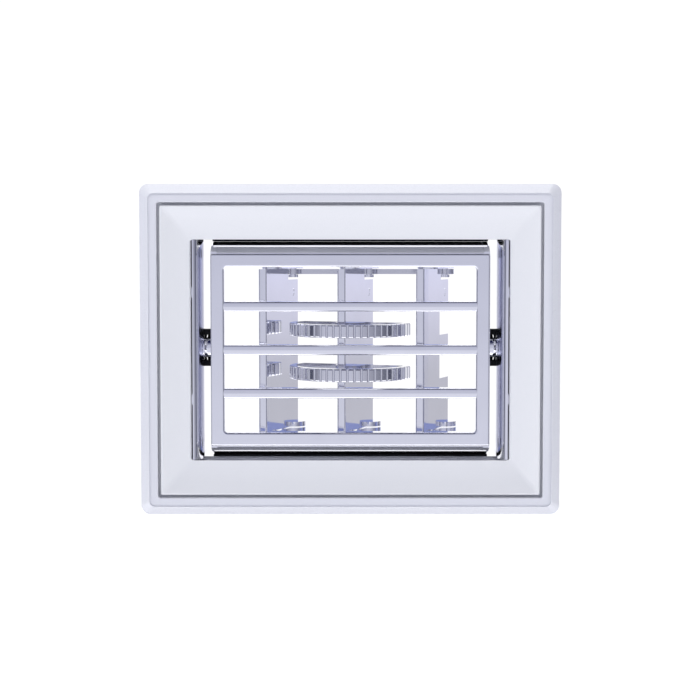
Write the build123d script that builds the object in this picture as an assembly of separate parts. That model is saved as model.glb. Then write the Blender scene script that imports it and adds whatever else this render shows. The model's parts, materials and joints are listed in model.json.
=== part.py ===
from build123d import *
import math
import os

# Louvred air grille for a vehicle or caravan panel: a white frame around a chrome-plated drum
# that pitches, with three upright vanes inside it that swing together.
# Millimetres, +Z up, -Y towards the person who faces the grille.
# The origin is the centre of the frame's rear face, which lies on the panel (y = 0).

# --- Mounting frame -----------------------------------------------------------------------
FRAME_WIDTH = 165.0
FRAME_HEIGHT = 130.0
FRAME_CORNER = 3.5
FRONT_Y = -6.5          # plane of the flat ring at the front
LIP_RUN = 3.7           # how far the outer lip slopes in from the edge
LIP_FOOT = 1.4          # upright part of the lip next to the panel
LIP_ROUND = 0.3
LINE_INSET = 0.2        # a fine groove separates the lip from the flat ring
LINE_WIDTH = 0.55
LINE_DEPTH = 0.5
FLANGE_T = 2.4
POCKET_HALF = (75.3, 57.7)
POCKET_CORNER = 0.8
POCKET_ROUND = 0.4
NECK_WALL = 1.8
NECK_REAR = 40.0
FIXING_AT = (70.9, 53.2)
FIXING_R = 2.1

# --- Cover frame --------------------------------------------------------------------------
GROOVE = 1.2            # the gap around the cover frame
COVER_CORNER = 0.6
COVER_ROUND = 0.3
OPENING_HALF = (62.8, 43.36)
OPENING_CORNER = 1.5
OPENING_Y = -3.5        # plane where the bevel meets the opening
COVER_LAND = 0.6
COVER_WALL = 1.6
HOOK_AT_X = 46.0
HOOK_Z = (48.6, 50.1)   # the tongue's near and far faces
HOOK_HALF = 4.0
HOOK_TIP = 1.6          # the tongues reach this far through the panel's front plane
HOOK_BARB = (0.25, 1.2)     # y from and to
HOOK_BARB_REACH = 1.0
HOOK_SLOT_GAP = 0.3

# --- Drum ---------------------------------------------------------------------------------
PIVOT_Y = 17.0
DRUM_R = 42.55
DRUM_HALF_X = 54.8
FACE_Y = -2.44
FACE_HALF_Z = 37.8
FACE_T = 1.5
SHELL_FRONT = -1.9
SHELL_REAR = 39.0
SHELL_WALL = 2.0
FLOOR_Z = 34.0          # the flat inside faces of the two shells
CHEEK_T = 2.4
FIT_GAP = 0.05          # between pieces that are fixed to each other
FACE_ROUND = 0.8
GRILLE_REAR = 3.4
WINDOW_HALF_X = 49.4
WINDOW_HALF_Z = 32.5
WINDOW_CORNER = 1.2
WINDOW_ROUND = 0.9
BAR_PITCH = 17.07
BAR_HEIGHT = 4.0
BAR_FRONT = FACE_Y + 0.15
BAR_REAR = 4.4
BAR_CROWN = 0.4         # the bars' front faces bulge by this much
BAR_ROUND = 0.7
TAB_AT_X = 32.0
TAB_HALF = 4.0
TAB_Z = (35.0, 36.6)
TAB_REAR = 9.0
TAB_BARB = 0.5          # height and
TAB_BARB_RUN = 1.6      # length of the barb at each tab's end
COLLAR_R = 5.2
COLLAR_END = 57.3
TRUNNION_R = 4.0
TRUNNION_END = 62.3
RUNNING_GAP = 0.04      # radial clearance of every pin that turns in a bush

# --- Carrier ------------------------------------------------------------------------------
CARRIER_HALF = (62.4, 45.2)
CARRIER_REAR = 34.0
RAIL_FRONT = 9.8        # the rails stand back, behind the white neck's front edge
SEAL_RUN = (10.0, 20.0)     # y from and to of the foam strips that close the gap to the drum
SEAL_GAP = 0.05
HORN_FRONT = (61.9, -2.6)   # x and y where the lead-in beside the drum begins
HORN_WAIST = (58.0, 6.5)    # x and y of its narrowest place
PLATE_INNER_X = 59.6
PLATE_HALF_Z = 43.26
LUG_Z = (22.6, -19.5)
LUG_HALF = 2.0
BUSH_R = 4.9
BUSH_FLANGE = (57.6, 59.6)
PAD_X = (55.1, 59.6)    # x from and to of the friction pads above and below each trunnion
PAD_Y = (13.0, 21.0)
PAD_Z = (5.25, 7.3)

# --- Vanes --------------------------------------------------------------------------------
VANE_PITCH = 31.3
VANE_FRONT = 10.0       # chord ahead of the pivot
VANE_REAR = 24.5        # chord behind the pivot
VANE_T = 1.6
VANE_TAPER_FROM = 8.2   # the plate thins from here back
VANE_EDGE_T = 0.9
SPINE_T = 3.5
SPINE_ROUND = 0.8
VANE_REST = -22.0       # degrees about +Z from straight ahead, as the vanes stand at rest
VANE_BOTTOM = -33.7
VANE_TOP = 31.6
CRANK_TOP = 33.6
CRANK_R = 4.2
LINK_ARM = 20.5         # from a vane's pivot to its link pin
LINK_NOTCH = (14.0, 27.0)   # the rear top corner is cut away from here back and up
FOOT_R = 5.0
FOOT_T = 1.9
VANE_PIN_R = 1.5
VANE_PIN_END = 37.6
VANE_BUSH_R = 2.6
VANE_BUSH_END = 38.0
VANE_BOSS_R = 4.2
EJECTOR_MARK_AT = (19.0, 21.8)  # chord and height of the round mark on each plate
EJECTOR_MARK_R = 1.5
EJECTOR_MARK_DEPTH = 0.15
WHEEL_NOTCH_FROM = 12.5     # the right vane is cut away from here back, for the finger wheels
WHEEL_NOTCHES = ((4.4, 15.0), (-13.5, -3.3))

# --- Link bar and finger wheels -----------------------------------------------------------
LINK_Z = (29.2, 31.3)
LINK_WIDTH = 3.6
LINK_EYE_R = 3.9
LINK_PIN_R = 1.4
LINK_HEAD_R = 2.1
LINK_HEAD_Z = (27.9, 29.0)
LINK_FREE_GAP = 0.35    # clearance at the two outer vanes' pins
WHEEL_R = 24.6
WHEEL_HEIGHT = 5.2
WHEEL_CHORD = 6.0       # the straight edge, behind the pivot
WHEEL_CORNER = 2.2
WHEEL_RIM = 2.8
WHEEL_WEB = 3.0
WHEEL_HUB_R = 6.0
WHEEL_RIBS = 56
RIB_GROOVE_R = 0.55
WHEEL_LEVELS = {"finger_wheel_upper": 7.5, "finger_wheel_lower": -9.7}

# --- Screws -------------------------------------------------------------------------------
SCREW_R = 1.1
SCREW_HEAD_R = 2.1
SCREW_HEAD_T = 1.1
SCREW_GAP = 0.02
DRUM_SCREW_Y = (PIVOT_Y - 9.0, PIVOT_Y + 9.0)
DRUM_SCREW_Z = 37.8
DRUM_SCREW_LENGTH = 9.0
SCREW_BOSS_R = 2.8
SMALL_SCREW_R = 0.8
SMALL_HEAD_R = 1.3
SMALL_HEAD_T = 0.9
CARRIER_SCREW_X = 61.0
CARRIER_SCREW_Y = (13.0, 28.0)
CARRIER_SCREW_TIP = 37.0
FRAME_SCREW_AT = (24.0, 26.0)   # y and z
FRAME_SCREW_TIP = 60.2

SIDES = (-1, 1)

os.makedirs("parts", exist_ok=True)


def block(x_range, y_range, z_range):
    """A box from the two ends of each side, in either order."""
    (x0, x1), (y0, y1), (z0, z1) = (sorted(pair) for pair in (x_range, y_range, z_range))
    return Pos((x0 + x1) / 2, (y0 + y1) / 2, (z0 + z1) / 2) * Box(x1 - x0, y1 - y0, z1 - z0)


def face_at(y, half_x, half_z, corner):
    """A rounded rectangle that faces the user, in the plane at y."""
    flat = Plane(origin=(0, y, 0), x_dir=(1, 0, 0), z_dir=(0, -1, 0))
    return flat * RectangleRounded(2 * half_x, 2 * half_z, corner)


def prism(y0, y1, half_x, half_z, corner):
    """A rounded rectangle swept from y0 back to y1."""
    return extrude(face_at(y1, half_x, half_z, corner), y1 - y0)


def rod_x(radius, x_range, y, z):
    """A cylinder along X."""
    x0, x1 = sorted(x_range)
    return Pos((x0 + x1) / 2, y, z) * Rot(0, 90, 0) * Cylinder(radius, x1 - x0)


def rod_z(radius, z_range, x, y):
    """A cylinder along Z."""
    z0, z1 = sorted(z_range)
    return Pos(x, y, (z0 + z1) / 2) * Cylinder(radius, z1 - z0)


def scaled(pair, factor):
    return (pair[0] * factor, pair[1] * factor)


def save(name, shape):
    shape.label = name
    export_step(shape, f"parts/{name}.step")


def save_group(name, solids):
    """Several like pieces in one node."""
    save(name, Compound(children=list(solids)))


# --- White frames ---------------------------------------------------------------------------


def mounting_frame():
    half_x = FRAME_WIDTH / 2
    half_z = FRAME_HEIGHT / 2
    inner_x = CARRIER_HALF[0] + FIT_GAP
    inner_z = CARRIER_HALF[1] + FIT_GAP
    foot = prism(-LIP_FOOT, 0, half_x, half_z, FRAME_CORNER)
    lip = loft(
        [
            face_at(-LIP_FOOT, half_x, half_z, FRAME_CORNER),
            face_at(FRONT_Y, half_x - LIP_RUN, half_z - LIP_RUN, FRAME_CORNER - 1.0),
        ]
    )
    body = foot + lip
    body = fillet(body.edges().group_by(Axis.Y)[0], LIP_ROUND)
    line_x = half_x - LIP_RUN - LINE_INSET
    line_z = half_z - LIP_RUN - LINE_INSET
    line = prism(FRONT_Y - 1, FRONT_Y + LINE_DEPTH, line_x, line_z, 2.0)
    line -= prism(
        FRONT_Y - 1, FRONT_Y + LINE_DEPTH, line_x - LINE_WIDTH, line_z - LINE_WIDTH, 2.0 - LINE_WIDTH
    )
    body -= line
    body -= prism(FRONT_Y - 1, -FLANGE_T, *POCKET_HALF, POCKET_CORNER)
    pocket_rim = [
        edge
        for edge in body.edges().group_by(Axis.Y)[0]
        if abs(edge.center().X) < POCKET_HALF[0] + 0.1 and abs(edge.center().Z) < POCKET_HALF[1] + 0.1
    ]
    body = fillet(pocket_rim, POCKET_ROUND)
    body += prism(-FLANGE_T, NECK_REAR, inner_x + NECK_WALL, inner_z + NECK_WALL, 2.5)
    body -= block((-inner_x, inner_x), (FRONT_Y, NECK_REAR + 1), (-inner_z, inner_z))
    for side in SIDES:
        for level in SIDES:
            spot = Pos(side * FIXING_AT[0], -FLANGE_T / 2, level * FIXING_AT[1])
            body -= spot * Rot(90, 0, 0) * Cylinder(FIXING_R, 2 * FLANGE_T)
            reach = HOOK_HALF + HOOK_SLOT_GAP
            near = HOOK_Z[0] - HOOK_SLOT_GAP
            far = HOOK_Z[1] + HOOK_SLOT_GAP + 0.8
            body -= block(
                (side * HOOK_AT_X - reach, side * HOOK_AT_X + reach),
                (-FLANGE_T - 1, 1),
                (level * near, level * far),
            )
            body -= rod_x(
                SCREW_R + SCREW_GAP,
                (side * (inner_x - 1), side * (inner_x + NECK_WALL + 1)),
                FRAME_SCREW_AT[0],
                level * FRAME_SCREW_AT[1],
            )
    save("mounting_frame", body)


def bevel_void(shift):
    """The space in front of the cover frame's dished, mitred bevel, moved back by shift."""
    half_x = POCKET_HALF[0] - GROOVE - COVER_LAND
    half_z = POCKET_HALF[1] - GROOVE - COVER_LAND
    middle = (FRONT_Y * 0.36 + OPENING_Y * 0.64) + shift
    halfway_x = (half_x + OPENING_HALF[0]) / 2
    halfway_z = (half_z + OPENING_HALF[1]) / 2
    return loft(
        [
            face_at(FRONT_Y + shift, half_x, half_z, OPENING_CORNER),
            face_at(middle, halfway_x, halfway_z, OPENING_CORNER),
            face_at(OPENING_Y + shift, *OPENING_HALF, OPENING_CORNER),
        ]
    )


def cover_frame():
    outer_x = POCKET_HALF[0] - GROOVE
    outer_z = POCKET_HALF[1] - GROOVE
    body = prism(FRONT_Y, -FLANGE_T, outer_x, outer_z, COVER_CORNER)
    body = fillet(body.edges().group_by(Axis.Y)[0], COVER_ROUND)
    body -= bevel_void(0)
    body -= prism(OPENING_Y - 0.2, 1, *OPENING_HALF, OPENING_CORNER)
    # It is a shell: a rim around the outside, a wall around the opening, open at the back.
    hollow = prism(FRONT_Y, -FLANGE_T, outer_x - COVER_WALL, outer_z - COVER_WALL, COVER_CORNER)
    hollow -= bevel_void(COVER_WALL)
    hollow -= prism(FRONT_Y, FRONT_Y + COVER_WALL, outer_x, outer_z, COVER_CORNER)
    wall = (OPENING_HALF[0] + COVER_WALL, OPENING_HALF[1] + COVER_WALL)
    hollow -= prism(FRONT_Y, 0, *wall, OPENING_CORNER)
    body -= hollow
    for side in SIDES:
        for level in SIDES:
            across = (side * HOOK_AT_X - HOOK_HALF, side * HOOK_AT_X + HOOK_HALF)
            root_y = OPENING_Y - 0.4
            body += block(across, (root_y, HOOK_TIP), scaled(HOOK_Z, level))
            barb = (HOOK_Z[1] - 0.1, HOOK_Z[1] + HOOK_BARB_REACH)
            body += block(across, HOOK_BARB, scaled(barb, level))
    save("cover_frame", body)


# --- Chrome carrier -------------------------------------------------------------------------


def carrier_rails():
    for name, level in (("carrier_top_rail", 1), ("carrier_bottom_rail", -1)):
        heights = scaled((OPENING_HALF[1], CARRIER_HALF[1]), level)
        rail = block((-CARRIER_HALF[0], CARRIER_HALF[0]), (RAIL_FRONT, CARRIER_REAR), heights)
        for side in SIDES:
            for y in CARRIER_SCREW_Y:
                x = side * CARRIER_SCREW_X
                rail -= rod_z(SMALL_SCREW_R + SCREW_GAP, scaled((40, 50), level), x, y)
                seat = CARRIER_HALF[1] - SMALL_HEAD_T - SCREW_GAP
                rail -= rod_z(SMALL_HEAD_R + SCREW_GAP, scaled((seat, 50), level), x, y)
        save(name, rail)


def drum_seals():
    """Foam strips under the rails, which keep air from leaking past the drum."""
    for level in SIDES:
        heights = scaled((DRUM_R + SEAL_GAP, OPENING_HALF[1]), level)
        yield block((-DRUM_HALF_X, DRUM_HALF_X), SEAL_RUN, heights)


def bearing_plate():
    """The right-hand side of the carrier: a curved lead-in and the plate that holds the bush."""
    front_x, front_y = HORN_FRONT
    waist_x, waist_y = HORN_WAIST
    lead_in = EllipticalCenterArc(
        (front_x, waist_y), front_x - waist_x, waist_y - front_y, start_angle=180, arc_size=90
    )
    outline = Polyline(
        (front_x, front_y),
        (front_x, 3.0),
        (CARRIER_HALF[0], 3.5),
        (CARRIER_HALF[0], CARRIER_REAR),
        (PLATE_INNER_X, CARRIER_REAR),
        (PLATE_INNER_X, waist_y + 2.6),
        (waist_x, waist_y + 1.0),
        (waist_x, waist_y),
    )
    profile = make_face([lead_in, outline])
    body = Pos(0, 0, -PLATE_HALF_Z) * extrude(profile, 2 * PLATE_HALF_Z, dir=(0, 0, 1))
    for z in LUG_Z:
        body += block((front_x - 0.5, CARRIER_HALF[0]), (-1.0, 3.2), (z - LUG_HALF, z + LUG_HALF))
    body -= rod_x(BUSH_R + FIT_GAP, (PLATE_INNER_X - 1, CARRIER_HALF[0] + 1), PIVOT_Y, 0)
    for level in SIDES:
        for y in CARRIER_SCREW_Y:
            hole = scaled((CARRIER_SCREW_TIP - 0.3, PLATE_HALF_Z + 1), level)
            body -= rod_z(SMALL_SCREW_R + SCREW_GAP, hole, CARRIER_SCREW_X, y)
        across = (FRAME_SCREW_TIP - 0.2, CARRIER_HALF[0] + 1)
        body -= rod_x(SCREW_R + SCREW_GAP, across, FRAME_SCREW_AT[0], level * FRAME_SCREW_AT[1])
    return body


def trunnion_bush():
    body = rod_x(BUSH_R, (BUSH_FLANGE[1] - 0.5, TRUNNION_END), PIVOT_Y, 0)
    body += rod_x(COLLAR_R, BUSH_FLANGE, PIVOT_Y, 0)
    return body - rod_x(TRUNNION_R + RUNNING_GAP, (50, 70), PIVOT_Y, 0)


def friction_pads():
    """Rubber blocks on the plates that grip the collars, so the drum stays where it is set."""
    for side in SIDES:
        for level in SIDES:
            yield block(scaled(PAD_X, side), PAD_Y, scaled(PAD_Z, level))


def carrier_screws():
    for side in SIDES:
        for level in SIDES:
            for y in CARRIER_SCREW_Y:
                top = CARRIER_HALF[1]
                x = side * CARRIER_SCREW_X
                shank = rod_z(SMALL_SCREW_R, scaled((CARRIER_SCREW_TIP, top - 0.1), level), x, y)
                head = rod_z(SMALL_HEAD_R, scaled((top - SMALL_HEAD_T, top), level), x, y)
                yield shank + head


def frame_screws():
    wall = CARRIER_HALF[0] + FIT_GAP + NECK_WALL
    for side in SIDES:
        for level in SIDES:
            y, z = FRAME_SCREW_AT[0], level * FRAME_SCREW_AT[1]
            shank = rod_x(SCREW_R, scaled((FRAME_SCREW_TIP, wall + 0.5), side), y, z)
            head = rod_x(SCREW_HEAD_R, scaled((wall + 0.01, wall + SCREW_HEAD_T), side), y, z)
            yield shank + head


# --- Chrome drum ----------------------------------------------------------------------------


def grille_bar(z):
    """A bar across the windows: flat sides, a crowned front and rounded edges."""
    half = BAR_HEIGHT / 2
    shoulder = BAR_FRONT + BAR_CROWN
    crown = ThreePointArc((shoulder, -half), (BAR_FRONT, 0), (shoulder, half))
    rest = Polyline((shoulder, half), (BAR_REAR, half), (BAR_REAR, -half), (shoulder, -half))
    profile = make_face([crown, rest])
    profile = fillet(profile.vertices(), BAR_ROUND)
    reach = WINDOW_HALF_X + 0.4
    return Pos(0, 0, z) * extrude(Plane.YZ.offset(-reach) * profile, 2 * reach)


def drum_front_grille():
    """The face: a rectangular frame with three bars across four windows."""
    face = prism(FACE_Y, FACE_Y + FACE_T, DRUM_HALF_X, FACE_HALF_Z, FACE_ROUND + 0.1)
    face = fillet(face.edges().group_by(Axis.Y)[0], FACE_ROUND)
    inner_x = DRUM_HALF_X - CHEEK_T - 2 * FIT_GAP
    body = face + prism(FACE_Y + 0.6, GRILLE_REAR, inner_x, FACE_HALF_Z, 0.3)
    window = prism(FACE_Y - 1, GRILLE_REAR + 1, WINDOW_HALF_X, WINDOW_HALF_Z, WINDOW_CORNER)
    body -= window
    rim = [
        edge
        for edge in body.edges().group_by(Axis.Y)[0]
        if abs(edge.center().X) < WINDOW_HALF_X + 1 and abs(edge.center().Z) < WINDOW_HALF_Z + 1
    ]
    body = fillet(rim, WINDOW_ROUND)
    for z in (-BAR_PITCH, 0, BAR_PITCH):
        body += grille_bar(z)
    for side in SIDES:
        for level in SIDES:
            across = (side * TAB_AT_X - TAB_HALF, side * TAB_AT_X + TAB_HALF)
            body += block(across, (GRILLE_REAR - 0.5, TAB_REAR), scaled(TAB_Z, level))
            barb = (TAB_Z[1] - 0.1, TAB_Z[1] + TAB_BARB)
            body += block(across, (TAB_REAR - TAB_BARB_RUN, TAB_REAR), scaled(barb, level))
    save("drum_front_grille", body)


def drum_shell(level):
    """One curved skin of the drum with its flat inside face, hollow between them."""
    reach = DRUM_HALF_X - CHEEK_T - FIT_GAP
    across = (-reach, reach)
    heights = scaled((FLOOR_Z, DRUM_R + 1), level)
    body = rod_x(DRUM_R, across, PIVOT_Y, 0) & block(across, (SHELL_FRONT, SHELL_REAR), heights)
    grille_seat = scaled((FLOOR_Z - 1, FACE_HALF_Z + FIT_GAP), level)
    body -= block(across, (SHELL_FRONT - 1, GRILLE_REAR + FIT_GAP), grille_seat)
    front_wall = GRILLE_REAR + FIT_GAP + SHELL_WALL
    core = rod_x(DRUM_R - SHELL_WALL, across, PIVOT_Y, 0)
    core_heights = scaled((FLOOR_Z + SHELL_WALL, DRUM_R), level)
    core &= block(across, (front_wall, SHELL_REAR - SHELL_WALL), core_heights)
    for x in (-VANE_PITCH, 0, VANE_PITCH):
        core -= rod_z(VANE_BOSS_R, scaled((FLOOR_Z, DRUM_R), level), x, PIVOT_Y)
    for side in SIDES:
        for y in DRUM_SCREW_Y:
            boss = scaled((reach - DRUM_SCREW_LENGTH - 1, reach + 1), side)
            core -= rod_x(SCREW_BOSS_R, boss, y, level * DRUM_SCREW_Z)
    body -= core
    for x in (-VANE_PITCH, 0, VANE_PITCH):
        hole = scaled((FLOOR_Z - 1, VANE_BUSH_END + FIT_GAP), level)
        body -= rod_z(VANE_BUSH_R + FIT_GAP, hole, x, PIVOT_Y)
    for side in SIDES:
        for y in DRUM_SCREW_Y:
            hole = scaled((reach - DRUM_SCREW_LENGTH, reach + 1), side)
            body -= rod_x(SCREW_R + SCREW_GAP, hole, y, level * DRUM_SCREW_Z)
        slot = (side * TAB_AT_X - TAB_HALF - 0.15, side * TAB_AT_X + TAB_HALF + 0.15)
        slot_z = scaled((TAB_Z[0] - 0.15, TAB_Z[1] + TAB_BARB + 0.1), level)
        body -= block(slot, (GRILLE_REAR - 1, TAB_REAR + 0.2), slot_z)
    return body


def drum_cheek():
    """The right-hand end of the drum with its trunnion."""
    inner = DRUM_HALF_X - CHEEK_T
    across = (inner, DRUM_HALF_X)
    front = FACE_Y + FACE_T + FIT_GAP
    disc = rod_x(DRUM_R, across, PIVOT_Y, 0)
    body = disc & block(across, (front, SHELL_REAR), (-DRUM_R, DRUM_R))
    body += rod_x(COLLAR_R, (DRUM_HALF_X - 0.5, COLLAR_END), PIVOT_Y, 0)
    body += rod_x(TRUNNION_R, (DRUM_HALF_X - 0.5, TRUNNION_END), PIVOT_Y, 0)
    for level in SIDES:
        for y in DRUM_SCREW_Y:
            z = level * DRUM_SCREW_Z
            body -= rod_x(SCREW_R + SCREW_GAP, (inner - 1, DRUM_HALF_X + 1), y, z)
            seat = DRUM_HALF_X - SCREW_HEAD_T - SCREW_GAP
            body -= rod_x(SCREW_HEAD_R + SCREW_GAP, (seat, DRUM_HALF_X + 1), y, z)
    return body


def drum_screws():
    seat = DRUM_HALF_X - SCREW_HEAD_T
    tip = DRUM_HALF_X - CHEEK_T - DRUM_SCREW_LENGTH + 0.4
    for side in SIDES:
        for level in SIDES:
            for y in DRUM_SCREW_Y:
                z = level * DRUM_SCREW_Z
                shank = rod_x(SCREW_R, scaled((tip, seat + 0.5), side), y, z)
                yield shank + rod_x(SCREW_HEAD_R, scaled((seat, DRUM_HALF_X), side), y, z)


def vane_bushes():
    for level in SIDES:
        for x in (-VANE_PITCH, 0, VANE_PITCH):
            span = scaled((FLOOR_Z, VANE_BUSH_END), level)
            bush = rod_z(VANE_BUSH_R, span, x, PIVOT_Y)
            yield bush - rod_z(VANE_PIN_R + RUNNING_GAP, (-50, 50), x, PIVOT_Y)


# --- Vanes, link bar and finger wheels ------------------------------------------------------


def at_vane(x):
    """Where a vane's own axes (pivot on Z, chord along +Y) lie on the drum at rest."""
    return Pos(x, PIVOT_Y, 0) * Rot(0, 0, VANE_REST)


def spine_section(gap):
    """The thick rounded front edge of a vane, seen along the pivot."""
    size = SPINE_T + 2 * gap
    return Pos(0, -VANE_FRONT + SPINE_T / 2) * RectangleRounded(size, size, SPINE_ROUND + gap)


def vane_blank():
    """A vane along +Y with its pivot at the origin: spine, plate, crank arm, foot and pins."""
    half = VANE_T / 2
    edge = VANE_EDGE_T / 2
    rear = VANE_REAR - edge
    section = Polygon(
        (-half, -VANE_FRONT + SPINE_T / 2),
        (half, -VANE_FRONT + SPINE_T / 2),
        (half, VANE_TAPER_FROM),
        (edge, rear),
        (-edge, rear),
        (-half, VANE_TAPER_FROM),
        align=None,
    )
    section += Pos(0, rear) * Circle(edge)
    section += spine_section(0)
    height = VANE_TOP - VANE_BOTTOM
    body = Pos(0, 0, VANE_BOTTOM) * extrude(section, height, dir=(0, 0, 1))
    body -= block((-9, 9), (LINK_NOTCH[0], 30), (LINK_NOTCH[1], 40))
    chord, mark_z = EJECTOR_MARK_AT
    thinned = (chord - VANE_TAPER_FROM) / (rear - VANE_TAPER_FROM)
    surface = half - thinned * (half - edge)
    body -= rod_x(EJECTOR_MARK_R, (surface - EJECTOR_MARK_DEPTH, surface + 1), chord, mark_z)
    crank = Pos(0, LINK_ARM / 2) * Rot(0, 0, 90) * SlotCenterToCenter(LINK_ARM, 2 * CRANK_R)
    body += Pos(0, 0, VANE_TOP) * extrude(crank, CRANK_TOP - VANE_TOP, dir=(0, 0, 1))
    body += rod_z(FOOT_R, (VANE_BOTTOM, VANE_BOTTOM + FOOT_T), 0, LINK_ARM)
    body += rod_z(LINK_PIN_R, (LINK_HEAD_Z[0], VANE_TOP + 0.5), 0, LINK_ARM)
    body += rod_z(LINK_HEAD_R, LINK_HEAD_Z, 0, LINK_ARM)
    body += rod_z(VANE_PIN_R, (CRANK_TOP - 0.5, VANE_PIN_END), 0, 0)
    body += rod_z(VANE_PIN_R, (-VANE_PIN_END, VANE_BOTTOM + 0.5), 0, 0)
    return body


def vanes():
    blank = vane_blank()
    save("vane_left", at_vane(-VANE_PITCH) * blank)
    save("vane_middle", at_vane(0) * blank)
    notched = blank
    for heights in WHEEL_NOTCHES:
        notched -= block((-9, 9), (WHEEL_NOTCH_FROM, 30), heights)
    save("vane_right", at_vane(VANE_PITCH) * notched)


def finger_wheel():
    """A half-disc with a ribbed rim, slotted from behind so that it slides onto a vane."""
    disc = Circle(WHEEL_R) & Pos(0, (WHEEL_CHORD - WHEEL_R) / 2) * Rectangle(
        2 * WHEEL_R, WHEEL_R + WHEEL_CHORD
    )
    disc = fillet(disc.vertices(), WHEEL_CORNER)
    body = Pos(0, 0, -WHEEL_HEIGHT / 2) * extrude(disc, WHEEL_HEIGHT, dir=(0, 0, 1))
    ends = body.edges().group_by(Axis.Z)
    body = fillet(ends[0] + ends[-1], 0.7)
    pocket = offset(disc, -WHEEL_RIM) - Circle(WHEEL_HUB_R)
    depth = (WHEEL_HEIGHT - WHEEL_WEB) / 2
    body -= Pos(0, 0, WHEEL_WEB / 2) * extrude(pocket, depth + 1, dir=(0, 0, 1))
    body -= Pos(0, 0, -WHEEL_HEIGHT / 2 - 1) * extrude(pocket, depth + 1, dir=(0, 0, 1))
    step = 360 / WHEEL_RIBS
    reach = 90 + math.degrees(math.asin(WHEEL_CHORD / WHEEL_R)) - 5
    grooves = int(reach / step)
    for i in range(-grooves, grooves + 1):
        turn = math.radians(i * step)
        ring = WHEEL_R + 0.1
        body -= rod_z(
            RIB_GROOVE_R, (-WHEEL_HEIGHT, WHEEL_HEIGHT), ring * math.sin(turn), -ring * math.cos(turn)
        )
    half = VANE_T / 2 + FIT_GAP
    body -= block((-half, half), (-VANE_FRONT + 0.5, WHEEL_CHORD + 1), (-9, 9))
    body -= Pos(0, 0, -9) * extrude(spine_section(FIT_GAP), 18, dir=(0, 0, 1))
    return body


def link_bar():
    lean = math.radians(-VANE_REST)
    y = PIVOT_Y + LINK_ARM * math.cos(lean)
    pins = [x + LINK_ARM * math.sin(lean) for x in (-VANE_PITCH, 0, VANE_PITCH)]
    body = block((pins[0], pins[-1]), (y - LINK_WIDTH / 2, y + LINK_WIDTH / 2), LINK_Z)
    for x in pins:
        body += rod_z(LINK_EYE_R, LINK_Z, x, y)
    for x in pins:
        gap = RUNNING_GAP if x == pins[1] else LINK_FREE_GAP
        body -= rod_z(LINK_PIN_R + gap, (20, 40), x, y)
    save("link_bar", body)


mounting_frame()
cover_frame()
carrier_rails()
save_group("drum_seals", drum_seals())
save("right_bearing_plate", bearing_plate())
save("left_bearing_plate", mirror(bearing_plate(), about=Plane.YZ))
save("right_trunnion_bush", trunnion_bush())
save("left_trunnion_bush", mirror(trunnion_bush(), about=Plane.YZ))
save_group("friction_pads", friction_pads())
save_group("carrier_screws", carrier_screws())
save_group("frame_screws", frame_screws())
drum_front_grille()
save("drum_top_shell", drum_shell(1))
save("drum_bottom_shell", drum_shell(-1))
save("drum_right_cheek", drum_cheek())
save("drum_left_cheek", mirror(drum_cheek(), about=Plane.YZ))
save_group("drum_screws", drum_screws())
save_group("vane_bushes", vane_bushes())
vanes()
for wheel_name, wheel_z in WHEEL_LEVELS.items():
    save(wheel_name, at_vane(0) * Pos(0, 0, wheel_z) * finger_wheel())
link_bar()
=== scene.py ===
import json
import math

import bpy
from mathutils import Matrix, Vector


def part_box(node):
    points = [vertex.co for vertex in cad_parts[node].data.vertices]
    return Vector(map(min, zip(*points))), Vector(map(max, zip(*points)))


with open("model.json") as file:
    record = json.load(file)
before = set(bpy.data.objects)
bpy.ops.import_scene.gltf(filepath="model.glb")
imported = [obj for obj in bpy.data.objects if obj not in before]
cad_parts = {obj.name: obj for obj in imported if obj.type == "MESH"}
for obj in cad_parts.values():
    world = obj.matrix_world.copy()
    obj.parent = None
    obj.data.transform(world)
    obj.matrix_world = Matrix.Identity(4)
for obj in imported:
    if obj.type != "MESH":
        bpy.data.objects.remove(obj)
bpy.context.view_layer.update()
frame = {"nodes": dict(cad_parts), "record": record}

MM = 0.001
NODES = frame["nodes"]

# --- Camera: straight on, a little above, from about two thirds of a metre ----------------------

CAMERA_DISTANCE = 0.650
CAMERA_ELEVATION = math.radians(3.6)
CAMERA_LENS = 85.8
CAMERA_SENSOR = 36.0
CAMERA_CLIP_START = 0.01
AIM_OFFSET = (-0.12 * MM, 0.35 * MM)    # from the frame's centre, across and up


def make_camera():
    front_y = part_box("mounting_frame")[0].y
    aim = Vector((AIM_OFFSET[0], front_y, AIM_OFFSET[1]))
    data = bpy.data.cameras.new("camera")
    data.lens = CAMERA_LENS
    data.sensor_width = CAMERA_SENSOR
    data.clip_start = CAMERA_CLIP_START
    camera = bpy.data.objects.new("camera", data)
    bpy.context.scene.collection.objects.link(camera)
    away = Vector((0.0, -math.cos(CAMERA_ELEVATION), math.sin(CAMERA_ELEVATION)))
    camera.location = aim + CAMERA_DISTANCE * away
    camera.rotation_euler = (-away).to_track_quat("-Z", "Y").to_euler()
    bpy.context.scene.camera = camera


make_camera()


# --- Node helpers -------------------------------------------------------------------------------


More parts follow.
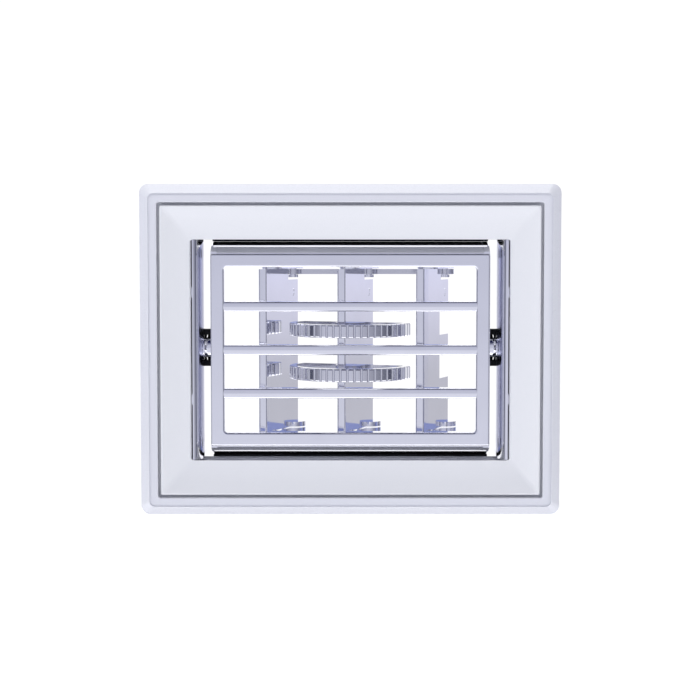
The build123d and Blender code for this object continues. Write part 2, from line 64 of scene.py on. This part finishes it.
class Graph:
    """A node tree with short calls for the nodes that the materials share."""

    def __init__(self, tree):
        self.tree = tree
        tree.nodes.clear()

    def add(self, kind, **settings):
        made = self.tree.nodes.new(kind)
        for name, value in settings.items():
            setattr(made, name, value)
        return made

    def put(self, socket, value):
        if isinstance(value, bpy.types.NodeSocket):
            self.tree.links.new(value, socket)
        else:
            socket.default_value = value

    def math(self, operation, *values):
        made = self.add("ShaderNodeMath", operation=operation)
        for socket, value in zip(made.inputs, values):
            self.put(socket, value)
        return made.outputs[0]

    def ramp(self, factor, stops, interpolation="EASE"):
        made = self.add("ShaderNodeValToRGB")
        made.color_ramp.interpolation = interpolation
        elements = made.color_ramp.elements
        while len(elements) < len(stops):
            elements.new(0.5)
        for element, (place, colour) in zip(elements, stops):
            element.position = place
            element.color = (*colour, 1.0)
        self.put(made.inputs["Fac"], factor)
        return made.outputs["Color"]

    def mix(self, factor, first, second):
        made = self.add("ShaderNodeMix", data_type="RGBA")
        self.put(made.inputs["Factor"], factor)
        self.put(made.inputs[6], first)
        self.put(made.inputs[7], second)
        return made.outputs[2]

    def scale(self, value, low, high, to_low, to_high):
        made = self.add("ShaderNodeMapRange")
        for name, number in (("Value", value), ("From Min", low), ("From Max", high),
                             ("To Min", to_low), ("To Max", to_high)):
            self.put(made.inputs[name], number)
        return made.outputs["Result"]

    def noise(self, place, scale, detail):
        """Fractal noise with this many features to the metre."""
        made = self.add("ShaderNodeTexNoise")
        self.put(made.inputs["Vector"], place)
        made.inputs["Scale"].default_value = scale
        made.inputs["Detail"].default_value = detail
        return made.outputs["Fac"]

    def bump(self, height, strength, distance, normal=None):
        made = self.add("ShaderNodeBump")
        made.inputs["Strength"].default_value = strength
        made.inputs["Distance"].default_value = distance
        self.put(made.inputs["Height"], height)
        if normal is not None:
            self.put(made.inputs["Normal"], normal)
        return made.outputs["Normal"]

    def object_place(self):
        return self.add("ShaderNodeTexCoord").outputs["Object"]


def new_material(name):
    material = bpy.data.materials.new(name)
    material.use_nodes = True
    graph = Graph(material.node_tree)
    shader = graph.add("ShaderNodeBsdfPrincipled")
    output = graph.add("ShaderNodeOutputMaterial")
    graph.put(output.inputs["Surface"], shader.outputs["BSDF"])
    return material, graph, shader


def dimmed(colour, share):
    return tuple(channel * share for channel in colour)


# --- Materials ----------------------------------------------------------------------------------

# Noise scales are in features to the metre, and depths are in metres.
HAZE_SCALE = 60.0
RIPPLE_SCALE = 70.0
RIPPLE_DEPTH = 0.4 * MM
GRAIN_SCALE = 2600.0
TOOL_TEXTURE_SCALE = 3200.0
MOTTLE_SCALE = 900.0
TURNING_SCALE = 1800.0
FINE_DEPTH = 0.02 * MM
ABS_IOR = 1.52


def chrome(name, tint, roughness, wave):
    """Bright plating on moulded plastic: slightly wavy, with a faint haze and a fine grain."""
    material, graph, shader = new_material(name)
    place = graph.object_place()
    haze = graph.noise(place, HAZE_SCALE, detail=4.0)
    shader.inputs["Metallic"].default_value = 1.0
    graph.put(shader.inputs["Base Color"],
              graph.ramp(haze, [(0.35, tint), (0.75, dimmed(tint, 0.97))]))
    graph.put(shader.inputs["Roughness"], graph.scale(haze, 0.3, 0.8, roughness, roughness + 0.05))
    ripple = graph.noise(place, RIPPLE_SCALE, detail=0.0)
    grain = graph.noise(place, GRAIN_SCALE, detail=2.0)
    normal = graph.bump(ripple, wave, RIPPLE_DEPTH)
    graph.put(shader.inputs["Normal"], graph.bump(grain, 0.05, FINE_DEPTH, normal))
    return material


def white_plastic(name, colour):
    """Glossy moulded ABS with a fine tool texture, which also varies its colour and its gloss."""
    material, graph, shader = new_material(name)
    texture = graph.noise(graph.object_place(), TOOL_TEXTURE_SCALE, detail=2.0)
    graph.put(shader.inputs["Base Color"],
              graph.ramp(texture, [(0.3, colour), (0.7, dimmed(colour, 0.95))]))
    graph.put(shader.inputs["Roughness"], graph.scale(texture, 0.3, 0.7, 0.24, 0.34))
    shader.inputs["IOR"].default_value = ABS_IOR
    graph.put(shader.inputs["Normal"], graph.bump(texture, 0.03, FINE_DEPTH))
    return material


def pale_plastic(name, colour, roughness):
    """Self-lubricating bush plastic: satin, off-white, with a fine mottled surface."""
    material, graph, shader = new_material(name)
    mottle = graph.noise(graph.object_place(), MOTTLE_SCALE, detail=4.0)
    graph.put(shader.inputs["Base Color"],
              graph.ramp(mottle, [(0.3, colour), (0.8, dimmed(colour, 0.88))]))
    graph.put(shader.inputs["Roughness"], graph.scale(mottle, 0.2, 0.8, roughness, roughness + 0.15))
    graph.put(shader.inputs["Normal"], graph.bump(mottle, 0.15, 0.03 * MM))
    shader.inputs["Subsurface Weight"].default_value = 0.1
    shader.inputs["Subsurface Radius"].default_value = (1.0 * MM, 1.0 * MM, 0.9 * MM)
    return material


def dark_rubber(name, pore_scale, roughness):
    """Black foam or moulded rubber: matte, with pores in its skin."""
    material, graph, shader = new_material(name)
    pores = graph.noise(graph.object_place(), pore_scale, detail=3.0)
    graph.put(shader.inputs["Base Color"],
              graph.ramp(pores, [(0.35, (0.004, 0.004, 0.005)), (0.7, (0.02, 0.02, 0.024))]))
    graph.put(shader.inputs["Roughness"], graph.scale(pores, 0.2, 0.8, roughness, 1.0))
    graph.put(shader.inputs["Normal"], graph.bump(pores, 0.4, 0.1 * MM))
    return material


def screw_steel(name):
    """Zinc-plated steel with turning marks."""
    material, graph, shader = new_material(name)
    marks = graph.noise(graph.object_place(), TURNING_SCALE, detail=3.0)
    shader.inputs["Metallic"].default_value = 1.0
    graph.put(shader.inputs["Base Color"],
              graph.ramp(marks, [(0.3, (0.62, 0.63, 0.66)), (0.8, (0.48, 0.49, 0.53))]))
    graph.put(shader.inputs["Roughness"], graph.scale(marks, 0.2, 0.8, 0.22, 0.42))
    graph.put(shader.inputs["Normal"], graph.bump(marks, 0.12, FINE_DEPTH))
    return material


PLATING = (0.94, 0.943, 0.975)
VANE_PLATING = (0.93, 0.933, 0.965)
SLOT_MATERIALS = {
    "white_abs": white_plastic("white_abs", (0.80, 0.81, 0.845)),
    "carrier_chrome": chrome("carrier_chrome", PLATING, roughness=0.07, wave=0.10),
    "drum_chrome": chrome("drum_chrome", PLATING, roughness=0.07, wave=0.10),
    "vane_chrome": chrome("vane_chrome", VANE_PLATING, roughness=0.05, wave=0.08),
    "bush_plastic": pale_plastic("bush_plastic", (0.80, 0.80, 0.83), roughness=0.35),
    # Seal foam and pad rubber are near black. The seals and pads sit where the drum's gaps look
    # dark, so their black is partly painted shade there.
    "seal_foam": dark_rubber("seal_foam", pore_scale=2400.0, roughness=0.85),
    "pad_rubber": dark_rubber("pad_rubber", pore_scale=4200.0, roughness=0.6),
    "screw_steel": screw_steel("screw_steel"),
}
# The snapped-in cover is a whiter shade than the frame, and the small moving parts are duller.
WHEEL_CHROME = chrome("wheel_chrome", (0.80, 0.803, 0.84), roughness=0.10, wave=0.08)
NODE_MATERIALS = {
    "cover_frame": white_plastic("cover_white", (0.88, 0.89, 0.89)),
    "finger_wheel_upper": WHEEL_CHROME,
    "finger_wheel_lower": WHEEL_CHROME,
    "link_bar": chrome("link_chrome", (0.72, 0.723, 0.76), roughness=0.12, wave=0.08),
}


def paint_nodes():
    for subpart in frame["record"]["subparts"]:
        node = subpart["node"]
        mesh = NODES[node].data
        mesh.materials.clear()
        mesh.materials.append(NODE_MATERIALS.get(node) or SLOT_MATERIALS[subpart["material_slot"]])


paint_nodes()


# --- Studio: white straight behind and below, dark flags at the sides, a dim front --------------

WHITE = (1.0, 1.0, 1.0)
BLACK = (0.0, 0.0, 0.0)
REAR = (0.60, 0.60, 0.68)
FLAG = (0.09, 0.095, 0.14)
NAVY = (0.010, 0.012, 0.05)

# Colours by height, from straight down (0) to straight up (1) with the horizon at 0.5.
REAR_SIDES = [
    (0.30, (0.65, 0.65, 0.70)),
    (0.46, (0.49, 0.49, 0.55)),
    (0.490, (0.69, 0.69, 0.84)),
    (0.510, (0.55, 0.59, 0.84)),
    (0.55, (0.24, 0.28, 0.54)),
    (0.75, NAVY),
]
FRONT = [
    (0.20, (0.70, 0.71, 0.82)),
    (0.42, (0.66, 0.67, 0.77)),
    (0.50, (0.52, 0.53, 0.64)),
    (0.66, (0.50, 0.51, 0.62)),
    (0.74, (0.30, 0.31, 0.41)),
    (0.85, (0.03, 0.035, 0.08)),
]
OVERHEAD = [(0.84, BLACK), (0.93, WHITE)]
# Where each zone fades in, in half turns from straight behind: on the right, then on the left.
REAR_FADE = ((0.04, 0.10), (0.04, 0.10))
SIDES_FADE = ((0.16, 0.20), (0.16, 0.20))
FLAG_FADE = ((0.29, 0.34), (0.32, 0.38))
FRONT_FADE = ((0.56, 0.95), (0.58, 0.72))
ROOM_STRENGTH = 1.05


def make_world():
    """The room's light by direction. The lens itself sees plain white wherever it looks."""
    world = bpy.data.worlds.new("studio")
    world.use_nodes = True
    bpy.context.scene.world = world
    graph = Graph(world.node_tree)
    way = graph.add("ShaderNodeSeparateXYZ")
    graph.put(way.inputs[0], graph.add("ShaderNodeTexCoord").outputs["Generated"])
    x, y, z = way.outputs
    height = graph.scale(z, -1.0, 1.0, 0.0, 1.0)
    # 0 is straight behind the part, 1 is the camera's side.
    turn = graph.math("DIVIDE", graph.math("ABSOLUTE", graph.math("ARCTAN2", x, y)), math.pi)
    left = graph.math("LESS_THAN", x, 0.0)
    zones = [
        (REAR_FADE, (*REAR, 1.0)),
        (SIDES_FADE, graph.ramp(height, REAR_SIDES, "LINEAR")),
        (FLAG_FADE, (*FLAG, 1.0)),
        (FRONT_FADE, graph.ramp(height, FRONT, "LINEAR")),
    ]
    room = (*WHITE, 1.0)
    for (right_fade, left_fade), colour in zones:
        on_right = graph.scale(turn, *right_fade, 0.0, 1.0)
        on_left = graph.scale(turn, *left_fade, 0.0, 1.0)
        share = graph.math("MULTIPLY_ADD", left, graph.math("SUBTRACT", on_left, on_right), on_right)
        room = graph.mix(share, room, colour)
    room = graph.mix(graph.ramp(height, OVERHEAD), room, (*NAVY, 1.0))
    lens = graph.add("ShaderNodeLightPath").outputs["Is Camera Ray"]
    background = graph.add("ShaderNodeBackground")
    graph.put(background.inputs["Color"], graph.mix(lens, room, (*WHITE, 1.0)))
    background.inputs["Strength"].default_value = ROOM_STRENGTH
    output = graph.add("ShaderNodeOutputWorld")
    graph.put(output.inputs["Surface"], background.outputs[0])


FLOOR_DROP = 0.30
FLOOR_SIDE = 1.5
FLOOR_FRONT = 0.25
FLOOR_GREY = 0.95
FLOOR_GLOW = 0.75


def make_floor():
    """A plain white floor well below the part, bright enough to read as paper white."""
    mesh = bpy.data.meshes.new("studio_floor")
    corners = [
        (-FLOOR_SIDE, -FLOOR_FRONT, -FLOOR_DROP),
        (FLOOR_SIDE, -FLOOR_FRONT, -FLOOR_DROP),
        (FLOOR_SIDE, FLOOR_SIDE, -FLOOR_DROP),
        (-FLOOR_SIDE, FLOOR_SIDE, -FLOOR_DROP),
    ]
    mesh.from_pydata(corners, [], [(0, 1, 2, 3)])
    floor = bpy.data.objects.new("studio_floor", mesh)
    bpy.context.scene.collection.objects.link(floor)
    material, _, shader = new_material("studio_floor")
    shader.inputs["Base Color"].default_value = (FLOOR_GREY, FLOOR_GREY, FLOOR_GREY, 1.0)
    shader.inputs["Roughness"].default_value = 0.9
    shader.inputs["Emission Color"].default_value = (*WHITE, 1.0)
    shader.inputs["Emission Strength"].default_value = FLOOR_GLOW
    mesh.materials.append(material)
    floor.visible_diffuse = False


def soft_light(name, place, target, size, power):
    data = bpy.data.lights.new(name, "AREA")
    data.shape = "RECTANGLE"
    data.size, data.size_y = size
    data.energy = power
    light = bpy.data.objects.new(name, data)
    light.location = place
    light.rotation_euler = (Vector(target) - Vector(place)).to_track_quat("-Z", "Y").to_euler()
    light.visible_camera = False
    bpy.context.scene.collection.objects.link(light)
    return light


# Name, place, width and height in metres, and power in watts.
SOFT_BOXES = [
    ("left_soft", (-1.8, -0.35, 0.0), (0.8, 2.0), 20.0),
    ("right_soft", (1.8, -0.35, 0.0), (0.8, 2.0), 17.0),
    ("low_soft", (0.0, -1.4, -1.0), (1.6, 0.8), 10.0),
    ("high_soft", (0.0, -1.3, 1.1), (1.6, 0.8), 4.5),
    ("top_back_soft", (-0.15, 0.5, 1.0), (1.2, 1.2), 22.0),
]
# Thin cards in front of the rails: only the drum's skin mirrors them, as a bright edge.
CARD_Y = 9.7 * MM
CARD_Z = 44.1 * MM
CARD_SIZE = (109.0 * MM, 1.3 * MM)
CARD_POWER = 0.00038


def studio_lights():
    """Large soft boxes at the sides, in front and overhead, which the plating doesn't mirror."""
    for name, place, size, power in SOFT_BOXES:
        soft_light(name, place, (0, 0, 0), size, power).visible_glossy = False


def edge_cards():
    for level in (1, -1):
        place = (0.0, CARD_Y, level * CARD_Z)
        ahead = (0.0, -1.0, level * CARD_Z)
        card = soft_light("edge_card", place, ahead, CARD_SIZE, CARD_POWER)
        card.visible_diffuse = False


make_world()
make_floor()
studio_lights()
edge_cards()
bpy.context.scene.view_settings.view_transform = "Standard"
# Light bounces many times between the plated parts before it leaves the gaps around the drum.
bpy.context.scene.cycles.max_bounces = 24
bpy.context.scene.cycles.glossy_bounces = 20
